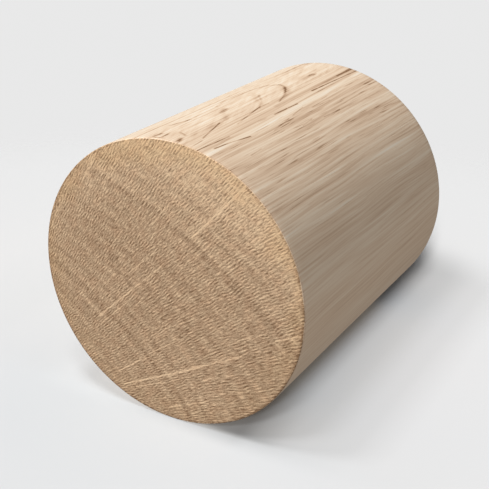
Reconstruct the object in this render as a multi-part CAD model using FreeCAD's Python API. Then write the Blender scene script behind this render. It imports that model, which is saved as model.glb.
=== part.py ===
# Turned oak dowel: one short length of plain round rod, standing on its lower end.
# The rod is one solid of revolution. Its arrises are eased, and both ends are sawn square.
# Frame, in millimetres: +Z up along the rod's axis, and the origin at the centre of the lower end,
# so that the rod stands on Z = 0.

import FreeCAD, Part

import math
import os

# Driving dimensions
DIAMETER = 30.0      # stock diameter of the rod
LENGTH = 35.5        # sawn length, over both end faces
ARRIS = 0.15         # radius that eases the edge between an end face and the round

RADIUS = DIAMETER / 2


def point(out, height):
    """A point of the half profile, which is drawn in the XZ plane."""
    return FreeCAD.Vector(out, 0, height)


def edge(start, end):
    """A straight edge of the half profile."""
    return Part.LineSegment(start, end).toShape()


def eased_edge(face_height, inwards):
    """The quarter round from the end face at that height to the round; inwards is 1 for the lower end, -1 for the upper."""
    centre_out = RADIUS - ARRIS
    centre_height = face_height + inwards * ARRIS
    reach = ARRIS * math.sqrt(0.5)
    on_face = point(centre_out, face_height)
    middle = point(centre_out + reach, centre_height - inwards * reach)
    on_round = point(RADIUS, centre_height)
    return Part.Arc(on_face, middle, on_round).toShape()


def half_profile():
    """The closed outline of half the rod's long section, from the axis to the round."""
    edges = [
        edge(point(0, 0), point(RADIUS - ARRIS, 0)),
        eased_edge(0, 1),
        edge(point(RADIUS, ARRIS), point(RADIUS, LENGTH - ARRIS)),
        eased_edge(LENGTH, -1),
        edge(point(RADIUS - ARRIS, LENGTH), point(0, LENGTH)),
        edge(point(0, LENGTH), point(0, 0)),
    ]
    return Part.Wire(Part.__sortEdges__(edges))


def dowel():
    """The half profile, turned once round the rod's axis."""
    origin = FreeCAD.Vector(0, 0, 0)
    axis = FreeCAD.Vector(0, 0, 1)
    turned = Part.Face(half_profile()).revolve(origin, axis, 360)
    return turned if turned.ShapeType == "Solid" else Part.Solid(turned)


os.makedirs("parts", exist_ok=True)
rod = dowel()
rod.exportStep("parts/dowel.step")

cylinder = math.pi * RADIUS ** 2 * LENGTH
box = rod.optimalBoundingBox()
print("valid", rod.isValid(), "closed", rod.isClosed(), "faces", len(rod.Faces))
print("size mm", round(box.XLength, 3), round(box.YLength, 3), round(box.ZLength, 3), "lowest", round(box.ZMin, 3))
print("volume mm3", round(rod.Volume, 2), "of a plain cylinder's", round(cylinder, 2))
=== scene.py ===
# %% [markdown]
# # A short oak dowel, from its two ends inwards
# The real object is one piece of wood: a plain round rod, turned to 30 mm and sawn off square.
# It has no joints and no second part, so all that makes it look real is its wood. The sawn ends
# show pores in rows, pale rays and dark year lines, and the round side shows streaks that run
# along the grain. This lesson makes the turned shape with Geometry Nodes, then the two faces of
# the wood with shader nodes, and last the floor, lamps and camera of the photograph.

import math

import bpy
from mathutils import Matrix, Vector


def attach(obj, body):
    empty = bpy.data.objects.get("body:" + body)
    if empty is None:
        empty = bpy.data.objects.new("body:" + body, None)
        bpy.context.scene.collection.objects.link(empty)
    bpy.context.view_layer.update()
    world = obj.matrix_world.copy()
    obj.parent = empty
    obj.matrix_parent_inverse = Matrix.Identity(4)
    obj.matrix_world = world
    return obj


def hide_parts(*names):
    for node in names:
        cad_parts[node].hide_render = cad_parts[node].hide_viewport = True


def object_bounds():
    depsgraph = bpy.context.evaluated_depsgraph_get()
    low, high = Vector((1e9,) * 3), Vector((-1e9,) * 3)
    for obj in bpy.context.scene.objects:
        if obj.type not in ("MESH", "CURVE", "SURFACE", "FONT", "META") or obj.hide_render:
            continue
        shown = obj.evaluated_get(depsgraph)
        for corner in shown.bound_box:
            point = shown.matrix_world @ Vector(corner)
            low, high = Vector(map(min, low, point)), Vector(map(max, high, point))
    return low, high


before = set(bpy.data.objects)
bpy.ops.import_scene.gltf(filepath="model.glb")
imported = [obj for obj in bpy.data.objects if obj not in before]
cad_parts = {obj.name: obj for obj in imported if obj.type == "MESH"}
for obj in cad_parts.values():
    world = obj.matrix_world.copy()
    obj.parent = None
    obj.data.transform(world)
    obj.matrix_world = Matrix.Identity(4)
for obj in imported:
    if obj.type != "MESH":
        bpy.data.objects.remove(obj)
cad_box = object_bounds()
print("CAD box, mm:", [[round(v * 1000, 2) for v in corner] for corner in cad_box])

# %% [markdown]
# ## Sizes and directions
# The library keeps the dowel standing on one end, because lying down it would roll away. The
# photograph shows it lying on a white floor instead, so the lesson needs both. Everything on the
# dowel is in the standing frame, with Z along the grain. Three directions say how the photograph
# sees it: `RIGHT` and `UP` are right and up for a viewer who faces the sawn end, and `AWAY` points
# along the rod, from that end to the far one. That end is the top of the standing rod.

# %% Sizes from the CAD, and the photograph's three directions
low, high = cad_box
RADIUS = (high.x - low.x) / 2
LENGTH = high.z - low.z
ARRIS = 0.00015    # metres: the CAD part's ease of the edges

UP = Vector((1, -1, 0)).normalized()
RIGHT = Vector((-1, -1, 0)).normalized()
AWAY = Vector((0, 0, -1))
SAWN_END = Vector((0, 0, LENGTH))


def from_photo(right, away, up):
    """A place given in radii from the centre of the sawn end, as the photograph sees it."""
    return SAWN_END + RADIUS * (right * RIGHT + away * AWAY + up * UP)


print("radius mm", round(RADIUS * 1000, 2), "length mm", round(LENGTH * 1000, 2))
print("directions turned the right way:", RIGHT.cross(AWAY).dot(UP) > 0.999)

# %% [markdown]
# ## One way to write nodes
# A node tree drawn by hand is easy to read and slow to describe in code. Two small classes keep
# it close to plain arithmetic. `Value` wraps a socket, so that `a * 2 - b` adds the Math nodes for
# it, and `Tree.node` makes any other node from its type, its settings and its inputs. Both serve
# the shape and the materials, because Geometry Nodes and shaders share their Math nodes. Vectors
# have a Math node of their own, and the few things it does here have short names too.

# %% Values that add their own Math nodes


class Value:
    """A number that changes over a surface. Arithmetic on it adds Math nodes to its tree."""

    def __init__(self, socket):
        self.socket = socket

    def math(self, operation, *others, first=None):
        node = self.socket.id_data.nodes.new("ShaderNodeMath")
        node.operation = operation
        inputs = [self, *others] if first is None else [first, self]
        for slot, value in zip(node.inputs, inputs):
            feed(slot, value)
        return Value(node.outputs[0])

    def __add__(self, other):
        return self.math("ADD", other)

    def __sub__(self, other):
        return self.math("SUBTRACT", other)

    def __mul__(self, other):
        return self.math("MULTIPLY", other)

    def __truediv__(self, other):
        return self.math("DIVIDE", other)

    def __rsub__(self, other):
        return self.math("SUBTRACT", first=other)

    def __rtruediv__(self, other):
        return self.math("DIVIDE", first=other)

    def __abs__(self):
        return self.math("ABSOLUTE")

    def __gt__(self, other):
        return self.math("GREATER_THAN", other)

    __radd__ = __add__
    __rmul__ = __mul__


def feed(slot, value):
    """Links a value to an input, or writes a plain number there."""
    if isinstance(value, Value):
        slot.id_data.links.new(value.socket, slot)
    elif value is not None:
        slot.default_value = value


class Tree:
    """A node tree, with one way to add a node."""

    def __init__(self, tree):
        self.tree = tree
        tree.nodes.clear()

    def node(self, kind, settings=None, inputs=None, out=0):
        """Adds a node: its settings first, then its inputs. Gives one output, or the node for out=None."""
        node = self.tree.nodes.new(kind)
        for name, value in (settings or {}).items():
            setattr(node, name, value)
        for name, value in (inputs or {}).items():
            feed(node.inputs[name], value)
        return node if out is None or not node.outputs else Value(node.outputs[out])


print("helpers ready: Value, feed, Tree")

# %% Short names for vectors


def vector(tree, x, y, z=0.0):
    """Three values as one vector."""
    return tree.node("ShaderNodeCombineXYZ", inputs={0: x, 1: y, 2: z})


def vector_math(tree, operation, out, *vectors):
    """One Vector Math node on up to three vectors."""
    return tree.node("ShaderNodeVectorMath", {"operation": operation}, dict(enumerate(vectors)), out)


def along(tree, place, direction):
    """How far a place lies along a direction."""
    return vector_math(tree, "DOT_PRODUCT", "Value", place, tuple(direction))


def distance(tree, place, other):
    """How far a place is from another one."""
    return vector_math(tree, "DISTANCE", "Value", place, other)


def length(tree, arrow):
    """How long a vector is."""
    return vector_math(tree, "LENGTH", "Value", arrow)


def scaled(tree, arrow, by):
    """A vector made longer or shorter."""
    return tree.node("ShaderNodeVectorMath", {"operation": "SCALE"}, {0: arrow, "Scale": by})


print("vector helpers ready")

# %% [markdown]
# ## The turned shape
# A lathe turns a profile round an axis, and Geometry Nodes can do just that. Four points draw half
# of the rod's long section, a Fillet eases its two corners into arrises, and Curve to Mesh sweeps
# it round a circle. A plain cylinder would do for a background, but it has knife edges that catch
# no light. Long runs of the profile are divided, so that a last step can move the round in and out
# by a few hundredths of a millimetre, as sanding does.

# %% The tree for a turned rod
ROD_INPUTS = (
    ("Geometry", "Geometry"), ("Radius", "Float"), ("Length", "Float"), ("Arris", "Float"),
    ("Spacing", "Float"), ("Around", "Int"), ("Sanding", "Float"), ("Seed", "Float"),
    ("End grain", "Material"), ("Round side", "Material"),
)


def turned_rod():
    """A Geometry Nodes tree: half profile, eased corners, one turn, then a trace of hand sanding."""
    group = bpy.data.node_groups.new("turned rod", "GeometryNodeTree")
    group.is_modifier = True
    for name, kind in ROD_INPUTS:
        group.interface.new_socket(name, in_out="INPUT", socket_type="NodeSocket" + kind)
    group.interface.new_socket("Geometry", in_out="OUTPUT", socket_type="NodeSocketGeometry")
    rod = Tree(group)
    given = rod.node("NodeGroupInput", out=None)
    take = {socket.name: Value(socket) for socket in given.outputs if socket.name}

    # Measured from the circle that it is swept round: corners 0 and 3 lie in at the axis, and 1 and 2
    # on the round. 2 and 3 are at the far end.
    corner = rod.node("GeometryNodeInputIndex")
    out = take["Radius"] * ((corner > 0.5) - (corner > 2.5)) - take["Radius"]
    height = (corner > 1.5) * -1 * take["Length"]
    place = vector(rod, out, height)
    points = rod.node("GeometryNodePoints", inputs={"Count": 4, "Position": place})
    profile = rod.node("GeometryNodePointsToCurves", inputs={0: points})
    ease = {"Curve": profile, "Count": 5, "Radius": take["Arris"]}
    eased = rod.node("GeometryNodeFilletCurve", {"mode": "POLY"}, ease)

    here = rod.node("GeometryNodeInputPosition")
    order = rod.node("GeometryNodeInputIndex")
    on_points = {"data_type": "FLOAT_VECTOR", "domain": "POINT"}
    after = rod.node("GeometryNodeFieldAtIndex", on_points, {"Index": order + 1, "Value": here})
    cuts = distance(rod, here, after) / take["Spacing"] - 0.5
    divided = rod.node("GeometryNodeSubdivideCurve", inputs={"Curve": eased, "Cuts": cuts})

    circle = {"Resolution": take["Around"], "Radius": take["Radius"]}
    turn = rod.node("GeometryNodeCurvePrimitiveCircle", {"mode": "RADIUS"}, circle)
    upright = rod.node("GeometryNodeSetCurveNormal", {"mode": "Z_UP"}, {"Curve": turn})
    swept = rod.node("GeometryNodeCurveToMesh", inputs={"Curve": upright, "Profile Curve": divided})
    outwards = rod.node("GeometryNodeFlipFaces", inputs={0: swept})
    closed = rod.node("GeometryNodeMergeByDistance", inputs={"Geometry": outwards, "Distance": 1e-7})

    spot = rod.node("GeometryNodeInputPosition")
    facing = rod.node("GeometryNodeInputNormal")
    level = rod.node("ShaderNodeSeparateXYZ", inputs={0: facing}, out=2)
    sideways = 1 - abs(level)
    bumps = {"Vector": spot, "W": take["Seed"], "Scale": 90.0, "Detail": 1.0}
    swell = rod.node("ShaderNodeTexNoise", {"noise_dimensions": "4D"}, bumps) - 0.5
    push = scaled(rod, facing, swell * sideways * take["Sanding"])
    sanded = rod.node("GeometryNodeSetPosition", inputs={"Geometry": closed, "Offset": push})

    smooth = rod.node("GeometryNodeSetShadeSmooth", inputs={"Geometry": sanded, "Shade Smooth": True})
    real = rod.node("GeometryNodeRealizeInstances", inputs={0: smooth})
    flat = rod.node("GeometryNodeInputNormal")
    tilt = rod.node("ShaderNodeSeparateXYZ", inputs={0: flat}, out=2)
    sides = rod.node("GeometryNodeSetMaterial", inputs={"Geometry": real, "Material": take["Round side"]})
    on_ends = {"Geometry": sides, "Selection": abs(tilt) > 0.7, "Material": take["End grain"]}
    ends = rod.node("GeometryNodeSetMaterial", inputs=on_ends)
    rod.node("NodeGroupOutput", inputs={"Geometry": ends})
    return group


print("tree made:", turned_rod.__name__)

# %% [markdown]
# ## Tones and helpers for the wood
# Both faces of the wood are painted in the same way. Several patterns add up to one number, the
# tone, which is nought for the plain colour, below nought for darker wood and above it for paler.
# A colour ramp then turns the tone into a colour. That keeps the hues together, as they are in
# real oak, and each pattern can be judged alone. All patterns read the object coordinates, in
# metres, so they run through the solid and no seam shows.

# %% Small helpers for the shader trees


def surface(name):
    """A new material, the tree that draws it, and the place on the object, in metres."""
    material = bpy.data.materials.new(name)
    material.use_nodes = True
    tree = Tree(material.node_tree)
    return material, tree, Value(tree.node("ShaderNodeTexCoord", out=None).outputs["Object"])


def noise(tree, place, detail=0.0):
    """Soft noise with cells of size 1. It swings between about -1 and 1."""
    grey = tree.node("ShaderNodeTexNoise", inputs={"Vector": place, "Scale": 1.0, "Detail": detail})
    return (grey - 0.5) * 3


def fade(tree, value, start, end, low=0.0, high=1.0):
    """Goes smoothly from low to high while the value goes from start to end."""
    limits = {"Value": value, "From Min": start, "From Max": end, "To Min": low, "To Max": high}
    return tree.node("ShaderNodeMapRange", {"interpolation_type": "SMOOTHSTEP"}, limits)


def ramp(tree, value, stops, smooth=False):
    """A colour for each value from 0 to 1, from a list of (value, colour)."""
    node = tree.node("ShaderNodeValToRGB", inputs={0: value}, out=None)
    node.color_ramp.interpolation = "EASE" if smooth else "LINEAR"
    first, last = node.color_ramp.elements
    first.position, first.color = stops[0][0], (*stops[0][1], 1)
    last.position, last.color = stops[-1][0], (*stops[-1][1], 1)
    for position, colour in stops[1:-1]:
        node.color_ramp.elements.new(position).color = (*colour, 1)
    return Value(node.outputs[0])


def blend(tree, share, colour, tint):
    """Multiplies a colour by a tint, for a share between 0 and 1."""
    multiply = {"data_type": "RGBA", "blend_type": "MULTIPLY"}
    return tree.node("ShaderNodeMix", multiply, {0: share, 6: colour, 7: tint}, out=2)


def spread(tree, value, stops, smooth=False):
    """A colour for each value over any range, from a list of (value, colour)."""
    start, end = stops[0][0], stops[-1][0]
    shares = [((at - start) / (end - start), colour) for at, colour in stops]
    return ramp(tree, (value - start) / (end - start), shares, smooth)


def levels(tree, value, marks):
    """Level bands: one (value, level) for each mark, and soft slopes between them."""
    return spread(tree, value, [(at, (level,) * 3) for at, level in marks], smooth=True)


def stroke(tree, spot, start, end, width):
    """A soft straight stroke on a flat pattern. spot is the vector (x, y, 1)."""
    start, end = Vector(start), Vector(end)
    run = (end - start).normalized()
    half = (end - start).length / 2
    middle = (start + end) / 2
    lengthwise = abs(along(tree, spot, (run.x, run.y, -run.dot(middle))))
    sideways = abs(along(tree, spot, (-run.y, run.x, run.y * middle.x - run.x * middle.y)))
    return fade(tree, sideways, width, 0) * fade(tree, lengthwise, half + width, half - width)


def bare_wood(tree, colour, roughness, relief, strength, depth):
    """Ends a material: its colour, its roughness, and a relief that is so many metres deep."""
    bump = tree.node("ShaderNodeBump", inputs={"Height": relief, "Strength": strength, "Distance": depth})
    looks = {"Base Color": colour, "Roughness": roughness, "Normal": bump}
    shader = tree.node("ShaderNodeBsdfPrincipled", inputs=looks)
    tree.node("ShaderNodeOutputMaterial", inputs={"Surface": shader})


print("wood helpers ready")

# %% [markdown]
# ## End grain
# A sawn end cuts across the pores, so it is rougher and darker than the round side. Three things
# make it oak: short marks in rows, where the saw tore the pores; pale rays that run out from the
# heart of the tree; and dark year lines across them. The heart lay far outside this rod, at the
# lower left of the sawn end, so the rays fan out gently and the year lines are wide arcs. The rows
# use a sine over the ray angle with its own start in every row, because plain noise gives blobs
# and not this woven look. The few bright rays that stand out in the photograph are placed one by
# one. Only the torn pores and the scratches give relief. Rays and year lines are mere colour: a
# saw leaves them flat, and a shader that sends its whole pattern into the relief grows too large.

# %% Where the years and rays of the end grain lie

# The centres of the rays and of the year lines, in radii right and up from the end's centre.
RAY_CENTRE = (-2.14, -1.96)
YEAR_CENTRE = (-1.91, -3.17)
# Year lines: radii from their centre and level, with 0.5 as the plain wood.
INNER_YEARS = (
    (2.80, 0.55), (2.865, 0.38), (2.90, 0.4), (2.94, 0.68), (3.0, 0.42), (3.03, 0.45), (3.065, 0.3),
    (3.09, 0.45), (3.14, 0.82), (3.165, 0.5), (3.195, 0.06), (3.225, 0.3), (3.26, 0.66), (3.31, 0.62),
    (3.345, 0.2), (3.39, 0.7), (3.44, 0.4), (3.50, 0.64), (3.52, 0.66), (3.552, 0.34), (3.575, 0.54),
    (3.615, 0.2), (3.655, 0.68), (3.70, 0.38), (3.73, 0.38), (3.765, 0.7), (3.825, 0.28), (3.88, 0.58),
    (3.95, 0.5),
)
OUTER_YEARS = (
    (3.95, 0.5), (3.98, 0.44), (4.04, 0.53), (4.10, 0.1), (4.15, 0.72), (4.19, 0.52), (4.245, 0.18),
    (4.29, 0.68), (4.33, 0.32), (4.38, 0.46), (4.43, 0.8), (4.46, 0.62), (4.51, 0.76), (4.55, 0.54),
    (4.60, 0.8),
)
# From and to, in radii right and up from the centre, then the half width and the level.
BRIGHT_RAYS = (
    # two long rays
    ((-0.40, -0.85), (0.22, -0.54), 0.010, 1.1), ((0.22, -0.54), (0.56, -0.355), 0.009, 0.9),
    ((-0.58, -0.36), (-0.30, -0.10), 0.009, 0.9), ((-0.30, -0.10), (-0.04, 0.14), 0.008, 0.9),
    # the brightest one, at the upper right
    ((0.20, 0.392), (0.38, 0.58), 0.009, 1.5), ((0.38, 0.58), (0.585, 0.793), 0.011, 2.0),
    # rays low on the face
    ((-0.45, -0.767), (-0.20, -0.575), 0.008, 0.8), ((-0.283, -0.833), (-0.04, -0.73), 0.008, 0.7),
    ((-0.017, -0.917), (0.30, -0.775), 0.008, 0.8),
    # fainter ones between them
    ((0.80, -0.18), (0.98, -0.10), 0.009, 0.9), ((-0.62, -0.46), (-0.34, -0.20), 0.007, 0.6),
    ((-0.20, -0.56), (0.12, -0.34), 0.007, 0.5), ((-0.34, 0.00), (-0.08, 0.24), 0.007, 0.6),
    ((-0.10, 0.42), (0.10, 0.66), 0.007, 0.5), ((0.10, -0.10), (0.36, 0.14), 0.007, 0.5),
    ((0.26, -0.62), (0.60, -0.47), 0.007, 0.5), ((0.48, -0.28), (0.74, -0.14), 0.007, 0.5),
    ((-0.80, -0.30), (-0.62, -0.10), 0.007, 0.4),
)

print("year lines:", len(INNER_YEARS + OUTER_YEARS), "bright rays:", len(BRIGHT_RAYS))

# %% Oak end grain
# The colours from dark wood at 0 to pale wood at 1, and two tints over them.
END_COLOURS = ((0.0, (0.22, 0.122, 0.06)), (0.5, (0.48, 0.324, 0.198)), (1.0, (0.83, 0.59, 0.37)))
GOLDEN = (1.0, 0.94, 0.78, 1)
FLUSHED = (1.0, 0.945, 0.92, 1)


def oak_end_grain():
    """The sawn end: torn pores in rows, rays and year lines. x and y are radii right and up."""
    material, tree, place = surface("oak end grain")
    x = along(tree, place, RIGHT / RADIUS)
    y = along(tree, place, UP / RADIUS)
    flat = vector(tree, x, y)

    ray = (y - RAY_CENTRE[1]).math("ARCTAN2", x - RAY_CENTRE[0])
    sway = noise(tree, vector(tree, x * 2.2, y * 2.2, 4.0))
    ring = distance(tree, flat, (*YEAR_CENTRE, 0))
    ring = ring + fade(tree, ring, 4.05, 3.0) * (x + 0.5) * 0.25 + sway * 0.01

    def in_rows(height, per_radius, seed):
        """Rows along the year lines: the place along a row, the row's number, and the place across it."""
        row = ring / height + noise(tree, vector(tree, x * 5, y * 5, seed)) * 0.4
        number = row.math("FLOOR")
        start = tree.node("ShaderNodeTexWhiteNoise", {"noise_dimensions": "1D"}, {"W": number + seed})
        return ray * (number * height) * per_radius + start * 7, number, row - number

    across, number, inside = in_rows(height=0.062, per_radius=40.0, seed=9.0)
    drift = noise(tree, vector(tree, x * 14, y * 14, 2.0))
    marks = ((across + drift * 0.35) * (2 * math.pi)).math("SINE")
    open_row = fade(tree, abs(inside - 0.5), 0.5, 0.25)
    strength = 0.75 + noise(tree, vector(tree, x * 6, y * 6, 5.0)) * 0.5
    rows = marks * open_row * strength
    across, number, inside = in_rows(height=0.045, per_radius=90.0, seed=4.0)
    between_rows = fade(tree, abs(inside - 0.5), 0.5, 0.3, 0.5)
    scratch = noise(tree, vector(tree, across, (number + inside) * 1.1, 6.0)) * between_rows
    across, number, inside = in_rows(height=0.09, per_radius=60.0, seed=2.0)
    torn = noise(tree, vector(tree, across, (number + inside) * 1.4, 1.0), detail=1.0)
    grit = noise(tree, vector(tree, x * 95, y * 95, 3.0))
    thin_rings = noise(tree, vector(tree, ray * 9, ring * 42, 5.0))

    rays = fade(tree, noise(tree, vector(tree, ray * 120, ring * 1.3, 7.0)), 0.3, 1.0)
    spot = vector(tree, x, y, 1.0)
    bright = 0.0
    for start_at, end_at, width, level in BRIGHT_RAYS:
        bright = stroke(tree, spot, start_at, end_at, width) * level + bright

    years = levels(tree, ring, INNER_YEARS) + levels(tree, ring, OUTER_YEARS) - 1
    # Painted light: the end is paler towards its top, as light from above leaves it.
    pale = fade(tree, y * 0.9 + x * 0.25, 0.0, 1.0) * 0.45
    out = length(tree, flat)
    # Painted shade: the end's thin outer rim is darkened, to damp the light on the eased edge.
    painted_shade_rim = fade(tree, out, 0.975, 0.992)
    # Painted highlight: the outer part of the end's upper half is paler.
    edge = fade(tree, out, 0.55, 0.95) * fade(tree, y, -0.3, 0.3)
    clouds = noise(tree, vector(tree, x * 1.7, y * 1.7, 1.0), detail=2.0)

    relief = rows * 0.46 + torn * 0.13 + scratch * 0.74 + grit * 0.34
    tone = relief + thin_rings * 0.14 + rays * 0.32 + bright * 1.1 + years * 0.52
    tone = tone + pale + edge * 0.14 + clouds * 0.06 - painted_shade_rim * 0.45 - 0.09
    colour = ramp(tree, tone * 0.5 + 0.5, END_COLOURS)
    ragged = out + noise(tree, vector(tree, x * 4, y * 4, 8.0)) * 0.1
    gold = fade(tree, ragged, 0.78, 1.02) * fade(tree, y, -0.7, 0.3, 0.3, 1.0)
    colour = blend(tree, gold * 0.5, colour, GOLDEN)
    flush = noise(tree, vector(tree, x * 14, y * 14, 12.0), detail=2.0)
    colour = blend(tree, flush + 0.3, colour, FLUSHED)
    bare_wood(tree, colour, 0.7 - tone * 0.05, relief, strength=0.5, depth=0.00003)
    return material


end_grain = oak_end_grain()
print("end grain nodes:", len(end_grain.node_tree.nodes))

# %% [markdown]
# ## Round side
# Along the grain the same pores are cut lengthwise, so they show as fine dark dashes, and the
# year lines show as long streaks. Where the saw cut runs level with a year line, the streak widens
# into a pale field with loops in it. In the photograph that field lies on top of the rod, and the
# fields beside it are quiet. The patterns are noise on the object coordinates, squeezed along the
# rod, which stays seamless all round. Wood is never cut quite along its grain, so the streaks lean
# a little and wander as they run. The marks that catch the eye are placed one by one, in
# millimetres from the sawn end and degrees from the top.

# %% Where the stripes and marks of the round side lie

# Broad fields round the rod: degrees from the top and level, with 0.5 as the plain wood.
FIELDS = (
    (-60, 0.47), (-30, 0.58), (-22, 1.0), (-13, 0.98), (-8, 0.8), (3, 0.78), (8, 0.68), (12, 0.53),
    (36, 0.5), (50, 0.53), (58, 0.60), (63, 0.66), (72, 0.62), (84, 0.61), (94, 0.50), (102, 0.49),
    (112, 0.53), (130, 0.47),
)
# Stripes on the photographed side, in the same way.
STRIPES = (
    (10, 0.5), (12.6, 0.44), (15.6, 0.44), (16.4, 0.9), (17.5, 1.0), (18.6, 0.92), (19.4, 0.48),
    (21.6, 0.38), (23.0, 0.4), (24.9, 0.64), (27.2, 0.38), (29.0, 0.42), (30.9, 0.6), (32.6, 0.68),
    (35.5, 0.37), (37.0, 0.58), (38.8, 0.43), (39.7, 0.46), (40.6, 0.84), (41.5, 0.46), (45.5, 0.58),
    (47.5, 0.45), (48.6, 0.58), (50.2, 0.4), (52.4, 0.46), (53.2, 0.8), (54.2, 0.48), (60, 0.6),
    (64.5, 0.56), (67.6, 0.44), (79, 0.6), (110, 0.54),
)
# From and to, each as millimetres and degrees, then the half width in millimetres and the level.
DARK_MARKS = (
    # strokes close to the sawn edge
    (4.5, -8.6, 7.2, -5.2, 0.3, 0.6), (0.4, -4.8, 1.9, -4.6, 0.28, 0.75),
    (0.3, -4.6, 0.5, -0.4, 0.26, 0.7), (0.5, -1.8, 1.9, -2.0, 0.22, 0.6),
    (0.3, 5.6, 1.4, 4.4, 0.36, 0.9), (2.2, 4.5, 2.7, 0.8, 0.24, 0.5),
    # a smudge and a stroke inside the loop
    (10.4, 0.0, 12.0, -1.8, 0.55, 0.85), (12.2, -6.6, 14.4, -8.6, 0.22, 0.5),
    # the right side of the loop, down from the sawn edge
    (0.0, 11.8, 2.4, 11.0, 0.13, 0.6), (2.8, 10.0, 7.5, 6.2, 0.15, 0.7),
    (8.6, 11.4, 11.5, 9.6, 0.14, 0.6), (11.5, 9.6, 14.8, 7.6, 0.13, 0.7),
    (14.0, 7.6, 16.5, 8.2, 0.12, 0.3), (17.6, 10.4, 20.3, 7.6, 0.16, 0.4),
    (20.3, 7.6, 21.8, 5.0, 0.24, 0.5), (21.8, 5.0, 22.9, 2.2, 0.32, 0.5),
    # its foot, round to the left
    (22.9, 2.2, 23.4, -1.2, 0.3, 0.55), (23.4, -1.2, 22.8, -3.0, 0.22, 0.4),
    (22.8, -3.0, 20.8, -3.8, 0.18, 0.3),
    # a spot below the loop, and the dark lines beside the pale stripe
    (28.6, 3.2, 30.2, 3.2, 0.55, 0.75), (31.2, 11.2, 35.5, 11.2, 0.16, 0.5),
    (24.0, 13.0, 27.0, 13.2, 0.17, 1.0), (27.0, 13.2, 31.0, 13.4, 0.15, 1.0),
    (31.0, 13.4, 35.5, 13.6, 0.15, 0.8), (14.2, 15.4, 17.0, 15.6, 0.16, 1.0),
    (17.0, 15.6, 19.2, 16.0, 0.15, 0.8), (1.8, 17.4, 4.6, 18.4, 0.14, 1.0),
    (4.6, 18.4, 7.5, 19.8, 0.14, 0.9), (0.0, 14.5, 5.4, 15.4, 0.13, 0.7),
    # fine lines among the stripes
    (4.4, 27.2, 6.6, 26.8, 0.11, 0.4), (15.2, 26.4, 17.8, 25.6, 0.11, 0.4),
    (11.0, 22.4, 15.0, 20.8, 0.11, 0.35), (16.0, 20.2, 19.0, 18.8, 0.10, 0.4),
    (20.0, 21.2, 24.0, 21.8, 0.12, 0.35), (19.6, 27.6, 23.4, 28.2, 0.11, 0.35),
)
TAN_MARKS = (
    # smudges inside the loop and below it
    (8.6, 6.4, 10.6, 1.0, 0.6, 0.5), (15.4, 7.4, 17.0, 0.8, 0.5, 0.5),
    (17.0, 0.8, 19.0, -4.0, 0.5, 0.4), (17.8, 11.0, 21.0, 7.4, 0.6, 0.5),
    (21.0, 7.4, 23.4, 0.0, 0.8, 0.7), (26.4, 2.6, 28.8, 3.0, 0.7, 0.6),
    (30.6, 0.6, 32.0, -1.2, 0.7, 0.4), (30.0, -5.4, 32.4, -8.4, 0.5, 0.5),
    (26.0, -2.0, 30.0, -3.4, 0.5, 0.35), (1.0, -5.0, 3.0, 3.0, 1.2, 0.35),
    (9.0, -0.6, 12.4, -1.0, 0.9, 0.4), (-1, -12.4, 36, -12.6, 0.35, 0.7),
    (16.0, 11.6, 36, 11.0, 0.5, 0.5), (0.0, 8.6, 8.0, 7.4, 0.5, 0.25),
    (34.0, -9.6, 36, -11.4, 0.6, 0.5),
    # the left side of the loop, and a second loop inside it
    (14.4, -8.6, 19.6, -8.2, 0.28, 0.9), (19.6, -8.2, 22.2, -6.0, 0.3, 0.95),
    (22.2, -6.0, 23.4, -1.2, 0.3, 0.9), (14.4, 8.2, 16.6, 4.6, 0.22, 0.7),
    (16.6, 4.6, 18.4, -0.6, 0.3, 0.8), (18.4, -0.6, 17.6, -4.0, 0.28, 0.6),
)

print("stripes:", len(STRIPES), "marks:", len(DARK_MARKS + TAN_MARKS))

# %% Oak round side
# The colours from dark wood at 0 to pale wood at 1.
ROUND_COLOURS = (
    (0.0, (0.27, 0.145, 0.07)), (0.25, (0.62, 0.42, 0.275)), (0.5, (0.825, 0.615, 0.435)),
    (0.75, (0.95, 0.77, 0.58)), (1.0, (0.99, 0.89, 0.75)),
)


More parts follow.
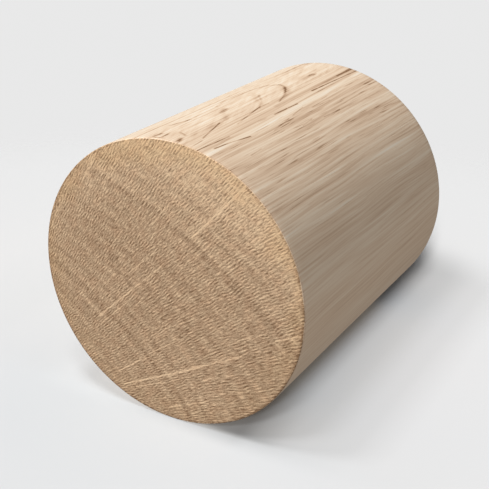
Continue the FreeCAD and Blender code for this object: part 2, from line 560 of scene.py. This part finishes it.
def oak_round_side():
    """The round side: fields, stripes, streaks, pores and marks. Lengths are in mm, angles in degrees."""
    material, tree, place = surface("oak round side")
    right = along(tree, place, RIGHT * 1000)
    up = along(tree, place, UP * 1000)
    down_rod = LENGTH * 1000 - along(tree, place, (0, 0, 1000))
    angle = right.math("ARCTAN2", up) * (180 / math.pi)

    wander = noise(tree, vector(tree, right / 2.5 + 3, up / 2.5, down_rod / 12))
    lean = fade(tree, angle, -50, 0, 0, 0.076) - fade(tree, angle, 14, 34, 0, 0.116)
    lean = lean + fade(tree, angle, 70, 120, 0, 0.04)
    turned = angle + lean * (down_rod - 18) + wander * 0.6
    swing = (turned - angle) * (math.pi / 180)
    grain = vector(tree, right + up * swing, up - right * swing, down_rod)

    def lengthwise(cell, stretch, seed, detail=0.0):
        """Noise with cells of that size, drawn out along the grain."""
        scale = (1 / cell, 1 / cell, 1 / (cell * stretch))
        return noise(tree, vector_math(tree, "MULTIPLY_ADD", 0, grain, scale, (seed, 0, 0)), detail)

    field = levels(tree, turned, FIELDS) - 0.5
    stripes = levels(tree, turned, STRIPES) - 0.5
    calm = 1 - fade(tree, angle, 40, 100, 0, 0.45) - fade(tree, angle, -60, -130, 0, 0.45)
    streaks = lengthwise(0.42, 48, 11.0, 1.0)
    broad = lengthwise(1.9, 22, 5.0)
    hair = lengthwise(0.2, 55, 17.0, 1.0)
    clouds = lengthwise(3.0, 4, 23.0, 2.0)
    pores = fade(tree, lengthwise(0.12, 22, 29.0), 0.35, 0.95)
    busy = fade(tree, abs(angle - 28), 20, 8)
    cream = fade(tree, abs(turned + 7), 17, 13)
    slanted = vector(tree, (down_rod * 0.33 + right) / 0.45, (down_rod - right * 0.33) / 3.2, 2.0)
    slant = noise(tree, slanted, detail=1.0) * cream

    per_degree = math.pi / 180 * RADIUS * 1000
    spot = vector(tree, down_rod, (angle + wander * 0.35) * per_degree, 1.0)
    flicker = 1 + lengthwise(0.5, 2, 31.0) * 0.35

    def drawn(marks):
        """The strongest of these marks at each place."""
        strongest = 0.0
        for from_mm, from_degrees, to_mm, to_degrees, width, level in marks:
            start, end = (from_mm, from_degrees * per_degree), (to_mm, to_degrees * per_degree)
            mark = stroke(tree, spot, start, end, width) * level
            strongest = mark.math("MAXIMUM", strongest)
        return strongest

    dark = drawn(DARK_MARKS)
    glow = drawn(TAN_MARKS)
    # Painted shade: the round side is darker within a third of a millimetre of the sawn edge, to damp the
    # light on the eased edge.
    painted_shade_rim = fade(tree, down_rod, 0.35, 0.12)
    tone = field + stripes * 1.2 + (streaks * 0.32 + hair * 0.6 + broad * 0.08) * calm
    tone = tone + clouds * 0.05 + slant * 0.32
    tone = tone - glow * 0.75 - dark * flicker * 1.3 - pores * (busy * 0.36 + 0.2) * calm - painted_shade_rim * 0.25
    colour = ramp(tree, tone * 0.5 + 0.5, ROUND_COLOURS)
    relief = (streaks * 0.32 + hair * 0.6) * calm - pores * 0.5
    bare_wood(tree, colour, 0.6 - tone * 0.06, relief, strength=0.4, depth=0.00002)
    return material


round_side = oak_round_side()
print("round side nodes:", len(round_side.node_tree.nodes))

# %% [markdown]
# ## Turning the dowel
# A Geometry Nodes tree does nothing until a modifier runs it on an object. The tree runs once here,
# on an empty mesh, and the result is kept as a plain mesh with the modifier taken off again. That
# way every later step, and any other program, meets ordinary faces. The modifier's inputs are set
# by their identifiers, because two inputs may share a name but never an identifier.

# %% Make the dowel


def make_rod(name, sizes):
    """Runs the tree once on an empty mesh and keeps the result as a plain mesh."""
    piece = bpy.data.objects.new(name, bpy.data.meshes.new(name))
    bpy.context.scene.collection.objects.link(piece)
    group = turned_rod()
    lathe = piece.modifiers.new("turned rod", "NODES")
    lathe.node_group = group
    for socket in group.interface.items_tree:
        if socket.item_type == "SOCKET" and socket.in_out == "INPUT" and socket.name in sizes:
            lathe[socket.identifier] = sizes[socket.name]
    graph = bpy.context.evaluated_depsgraph_get()
    made = piece.evaluated_get(graph)
    shape = bpy.data.meshes.new_from_object(made, preserve_all_data_layers=True, depsgraph=graph)
    piece.modifiers.clear()
    piece.data = shape
    shape.name = name
    return piece


dowel = make_rod("oak_dowel", {
    "Radius": RADIUS, "Length": LENGTH, "Arris": ARRIS, "Spacing": 0.0008, "Around": 256,
    "Sanding": 0.00004, "Seed": 3.0, "End grain": end_grain, "Round side": round_side,
})
mesh = dowel.data
inside_out = sum(face.normal.dot(face.center - SAWN_END / 2) < 0 for face in mesh.polygons)
print("vertices", len(mesh.vertices), "faces", len(mesh.polygons), "inside out", inside_out)
print("materials", [material.name for material in mesh.materials])

# %% [markdown]
# ## Laying the surface flat
# A UV map says where each face lies on a flat sheet, as a label lies before it is wrapped round a
# rod. The materials don't need it, but a picture painted from them for another program does. The
# round side goes down as two strips, each half a turn wide, and the two ends lie beside them. All
# four are at one scale, so the grain is equally sharp everywhere.

# %% A flat sheet for the whole surface


def lay_out(shape, name, sheet=0.0788, gap=0.0005):
    """Lays the surface flat on one square sheet, whose side and gaps are in metres."""
    layer = shape.uv_layers.new(name=name)
    half_turn = math.pi * RADIUS
    for face in shape.polygons:
        middle = face.center
        turn = math.atan2(middle.y, middle.x)
        for corner in face.loop_indices:
            spot = shape.vertices[shape.loops[corner].vertex_index].co
            if abs(face.normal.z) > 0.7:
                upper = middle.z > LENGTH / 2
                across = half_turn + gap + RADIUS + (spot.x if upper else -spot.x)
                up_sheet = RADIUS + (0 if upper else 2 * RADIUS + gap) + spot.y
            else:
                swing = math.remainder(math.atan2(spot.y, spot.x) - turn, math.tau)
                across = (turn + swing + (0 if turn >= 0 else math.pi)) * RADIUS
                up_sheet = spot.z + (0 if turn >= 0 else LENGTH + gap)
            layer.data[corner].uv = ((across + gap) / sheet, (up_sheet + gap) / sheet)
    return layer


sheet = lay_out(mesh, "OFBake")
for axis, name in enumerate(("across", "up")):
    used = [corner.uv[axis] for corner in sheet.data]
    print("sheet used", name, round(min(used), 3), "to", round(max(used), 3))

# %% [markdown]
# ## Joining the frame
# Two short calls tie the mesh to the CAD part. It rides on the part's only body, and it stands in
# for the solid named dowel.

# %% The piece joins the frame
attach(dowel, "root")
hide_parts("dowel")
print(dowel.name, "joins the frame")

# %% [markdown]
# ## The floor
# In the standing frame the photograph's floor is an upright sheet of paper that touches the rod's
# side. It shows only from the photograph's side, and from behind it is clear, so that it hides the
# rod in no view. The shadow on it is cast by the rod, and painted shadow in the paper's colour,
# made below, deepens it beside the rod.
#
# In the photograph the shadow fans out along the rod, and runs on well past its far end. Only small
# lamps close by do that, and such lamps light the paper unevenly. The photograph's paper is even,
# so the paper's colour makes up for it: it is divided by the light that falls there, which falls
# off with the distance squared and with both slants. The lamps are listed here for that reason,
# and made further down.

# %% The light that falls on the paper
FILL = 0.12    # the even light from all sides. At 1 it would show a white card as white.
# Where each lamp stands, as right, away and up; its level; its size in degrees; its distance in metres.
PAPER_LAMPS = (
    ((0.590, -1.630, 1), 0.740, 6, 12.0),
    ((0.410, -1.115, 1), 0.502, 7, 12.0),
    ((0.090, -0.569, 1), 0.188, 10, 0.150),
    ((-0.195, -0.347, 1), 0.205, 10, 0.131),
    ((0.327, -0.242, 1), 0.055, 14, 0.118),
)


def lamp_place(light_from, away):
    """Where a lamp stands, and the direction from the rod's middle to it."""
    back = (light_from[0] * RIGHT + light_from[1] * AWAY + light_from[2] * UP).normalized()
    return SAWN_END / 2 + back * away, back


def light_on_paper(tree, place):
    """The light that the paper gets at each place, as if the rod weren't there."""
    lit = FILL
    for light_from, level, _, away in PAPER_LAMPS:
        stands, back = lamp_place(light_from, away)
        gap = distance(tree, place, tuple(stands))
        ahead = stands.dot(back) - along(tree, place, back)
        height = stands.dot(UP) + RADIUS
        lit = ahead * (level * height * away ** 2) / (gap * gap * gap * gap) + lit
    return lit


print("lamps for the paper:", len(PAPER_LAMPS))

# %% [markdown]
# ## White paper beside warm wood
# Paper this close to pale wood takes on some of its warm light, and in the photograph it doesn't.
# So the paper is a little cooler near the rod, and darker there by painted shade. One ramp gives its
# colour by the distance from the rod. A second one, by the place across the rod from the near end to
# about a radius past the far one, paints shadow close to the rod's right side and paints light on
# its left, where it pales the rod's real shadow. A last touch paints the narrow dark rim of the
# shadow at the near end darker still, where the wood's light would wash it out. Farther out the
# paper ends softly in the backdrop.

# %% The paper's colour
EVEN_LIGHT = 1.014    # the light under which the colours below were matched
PAPER_END = (5, 7)    # the paper turns clear between these distances, in radii

# Radii from a point just left of the near end's foot, and the paper's colour there, darkened by painted
# shade.
COOLER_PAINTED_SHADE_NEAR_ROD = (
    (0.0, (0.725, 0.760, 0.785)), (0.9, (0.748, 0.772, 0.792)), (1.8, (0.79, 0.798, 0.806)),
    (3.0, (0.824, 0.825, 0.826)),
)
# Radii to the right of the rod's axis, and the tint there: painted shadow close to the rod's right
# side, and painted light on its left that pales its real shadow.
PAINTED_SHADOW_AND_LIGHT_BESIDE_ROD = (
    (-3.0, (1.0, 1.0, 1.0)), (-2.0, (0.975, 0.98, 0.98)), (-1.2, (1.01, 1.01, 1.01)),
    (-1.0, (1.04, 1.04, 1.045)), (-0.7, (1.06, 1.065, 1.07)), (-0.4, (1.0, 1.0, 1.0)),
    (0.5, (0.51, 0.565, 0.62)), (0.6, (0.68, 0.73, 0.785)), (0.7, (0.75, 0.785, 0.82)),
    (0.8, (0.815, 0.84, 0.865)), (0.95, (0.89, 0.905, 0.92)), (1.1, (0.925, 0.935, 0.95)),
    (1.3, (0.97, 0.975, 0.985)), (3.0, (1.0, 1.0, 1.0)),
)


def studio_paper():
    """White paper that is clear from behind and far from the rod. across, down and near are in radii."""
    material, tree, place = surface("white studio floor")
    across = along(tree, place, RIGHT / RADIUS)
    down = (LENGTH - along(tree, place, (0, 0, 1))) / RADIUS
    near = length(tree, vector(tree, across + 0.3, down - 0.1))

    # Painted shadow: the narrow rim of the shadow at the near end is darkened further.
    painted_shade_rim = fade(tree, across, 0.0, 0.4) * fade(tree, across, 0.85, 0.45)
    painted_shade_rim = painted_shade_rim * fade(tree, down, 0.0, 0.07) * fade(tree, down, 0.9, 0.25)
    cool = fade(tree, down, 3.0, 2.2) * fade(tree, down, 0.1, 0.8)
    # Painted shadow beside the rod's right side and painted light on its left, from the ramp across it.
    beside = tree.node("ShaderNodeHueSaturation", inputs={
        "Saturation": cool, "Value": 1 - 0.45 * painted_shade_rim, "Color": spread(tree, across, PAINTED_SHADOW_AND_LIGHT_BESIDE_ROD),
    })
    # Near the rod the paper is cooler, and darker by painted shade.
    level_with_rod = fade(tree, down, -0.15, 0.1) * fade(tree, down, 3.9, 3.1)
    tint = blend(tree, level_with_rod, spread(tree, near, COOLER_PAINTED_SHADE_NEAR_ROD), beside)
    tint = scaled(tree, tint, EVEN_LIGHT / light_on_paper(tree, place))

    looks = {"Base Color": tint, "Roughness": 1.0, "Specular IOR Level": 0.0}
    paper = tree.node("ShaderNodeBsdfPrincipled", inputs=looks)
    clear = tree.node("ShaderNodeBsdfTransparent")
    behind = Value(tree.node("ShaderNodeNewGeometry", out=None).outputs["Backfacing"])
    unseen = behind.math("MAXIMUM", fade(tree, near, *PAPER_END))
    both = tree.node("ShaderNodeMixShader", inputs={0: unseen, 1: paper, 2: clear})
    tree.node("ShaderNodeOutputMaterial", inputs={"Surface": both})
    return material


paper = studio_paper()
print("paper nodes:", len(paper.node_tree.nodes))

# %% The floor sheet
FLOOR_REACH = 0.7    # metres from its middle to each side
touching = SAWN_END / 2 - RADIUS * UP
signs = ((-1, -1), (1, -1), (1, 1), (-1, 1))
corners = [touching + FLOOR_REACH * (a * RIGHT + b * AWAY) for a, b in signs]
floor_mesh = bpy.data.meshes.new("photo_floor")
floor_mesh.from_pydata([tuple(corner) for corner in corners], [], [(0, 1, 2, 3)])
if floor_mesh.polygons[0].normal.dot(UP) < 0:
    floor_mesh.flip_normals()
floor_mesh.materials.append(paper)
floor = bpy.data.objects.new("photo_floor", floor_mesh)
bpy.context.scene.collection.objects.link(floor)
floor.visible_diffuse = False
floor.visible_glossy = False
floor.visible_transmission = False
floor.visible_shadow = False
print("floor set", round((touching - SAWN_END / 2).dot(UP) * 1000, 2), "mm from the rod's axis")

# %% [markdown]
# ## The air around
# The world does two jobs. The camera sees a flat pale grey beyond the paper, and the wood gets a
# weak, even light from all sides, so that no side of it falls to black. The Light Path node keeps
# the two apart, because it knows which rays come straight from the camera.

# %% The world
WHITE = (1, 1, 1, 1)
PALE_GREY = (0.812, 0.812, 0.812, 1)
world = bpy.data.worlds.new("studio")
bpy.context.scene.world = world
world.use_nodes = True
air = Tree(world.node_tree)
seen = Value(air.node("ShaderNodeLightPath", out=None).outputs["Is Camera Ray"])
fill = air.node("ShaderNodeBackground", inputs={"Color": WHITE, "Strength": FILL})
backdrop = air.node("ShaderNodeBackground", inputs={"Color": PALE_GREY, "Strength": 1.0})
sky = air.node("ShaderNodeMixShader", inputs={0: seen, 1: fill, 2: backdrop})
air.node("ShaderNodeOutputWorld", inputs={"Surface": sky})
print("world made:", world.name)

# %% [markdown]
# ## Lamps
# No single set of lamps gives both the photograph's wood and its paper: the light on the wood comes
# from the upper left, and the paper's shadow is soft and long on the right alone. Light linking
# solves this. A lamp that is linked to one object lights only that one, while all objects still
# cast shadows in its light. A key lamp and three weaker cards light the wood. The paper has two far
# lamps behind the camera, and three small ones close above the rod, whose shadow spreads.

# %% Lamps
WOOD_LAMPS = (
    ("key", (-0.41, -0.62, 0.81), 1.3), ("side card", (0.85, -0.2, 0.2), 0.22),
    ("low card", (0.5, -0.2, -0.8), 0.08), ("back light", (-0.5, 0.2, -0.72), 0.5),
)
WOOD_LAMP_SIZE = 24    # degrees, as seen from the rod
WOOD_LAMP_DISTANCE = 12.0    # metres


def lamp(name, light_from, level, size, away, lights):
    """A square lamp, so many degrees wide. At level 1 it shows a white card as white."""
    data = bpy.data.lights.new(name, "AREA")
    data.shape = "SQUARE"
    data.size = 2 * away * math.tan(math.radians(size / 2))
    data.energy = level * math.pi ** 2 * away ** 2
    piece = bpy.data.objects.new(name, data)
    bpy.context.scene.collection.objects.link(piece)
    stands, back = lamp_place(light_from, away)
    side = (RIGHT - RIGHT.dot(back) * back).normalized()
    turned = Matrix((side, back.cross(side), back)).transposed().to_4x4()
    turned.translation = stands
    piece.matrix_world = turned
    piece.visible_camera = False
    only = bpy.data.collections.new("lit by " + name)
    only.objects.link(lights)
    piece.light_linking.receiver_collection = only
    return piece


for name, light_from, level in WOOD_LAMPS:
    lamp(name, light_from, level, WOOD_LAMP_SIZE, WOOD_LAMP_DISTANCE, dowel)
for light_from, level, size, away in PAPER_LAMPS:
    lamp("paper lamp", light_from, level, size, away, floor)

# %% [markdown]
# ## The camera
# The outlines of the two ends in the photograph fix where the camera stood: a nearer camera would
# show the far end smaller. Its place is given in radii, as seen by a viewer who faces the sawn end,
# and its upright is the photograph's. The lens is the one that a square picture of that angle asks
# for.

# %% The camera
SENSOR = 36    # mm across the camera's sensor
PICTURE = 489    # pixels across the photograph
FOCAL_LENGTH = 991.6    # the same distance as the lens, in those pixels
photographer = bpy.data.cameras.new("photographer")
photographer.lens = SENSOR * FOCAL_LENGTH / PICTURE
camera = bpy.data.objects.new("photographer", photographer)
bpy.context.scene.collection.objects.link(camera)
stand = from_photo(3.3416, -4.7879, 2.8033)
aim = from_photo(0.580, 0, 0.427)
looking = (aim - stand).normalized()
right = looking.cross(UP).normalized()
turned = Matrix((right, right.cross(looking), -looking)).transposed().to_4x4()
turned.translation = stand
camera.matrix_world = turned
photographer.clip_start = 0.005
bpy.context.scene.camera = camera
bpy.context.scene.view_settings.view_transform = "Standard"
print("camera", round((stand - aim).length * 1000), "mm from its aim")
print("lens", round(photographer.lens, 1), "mm")
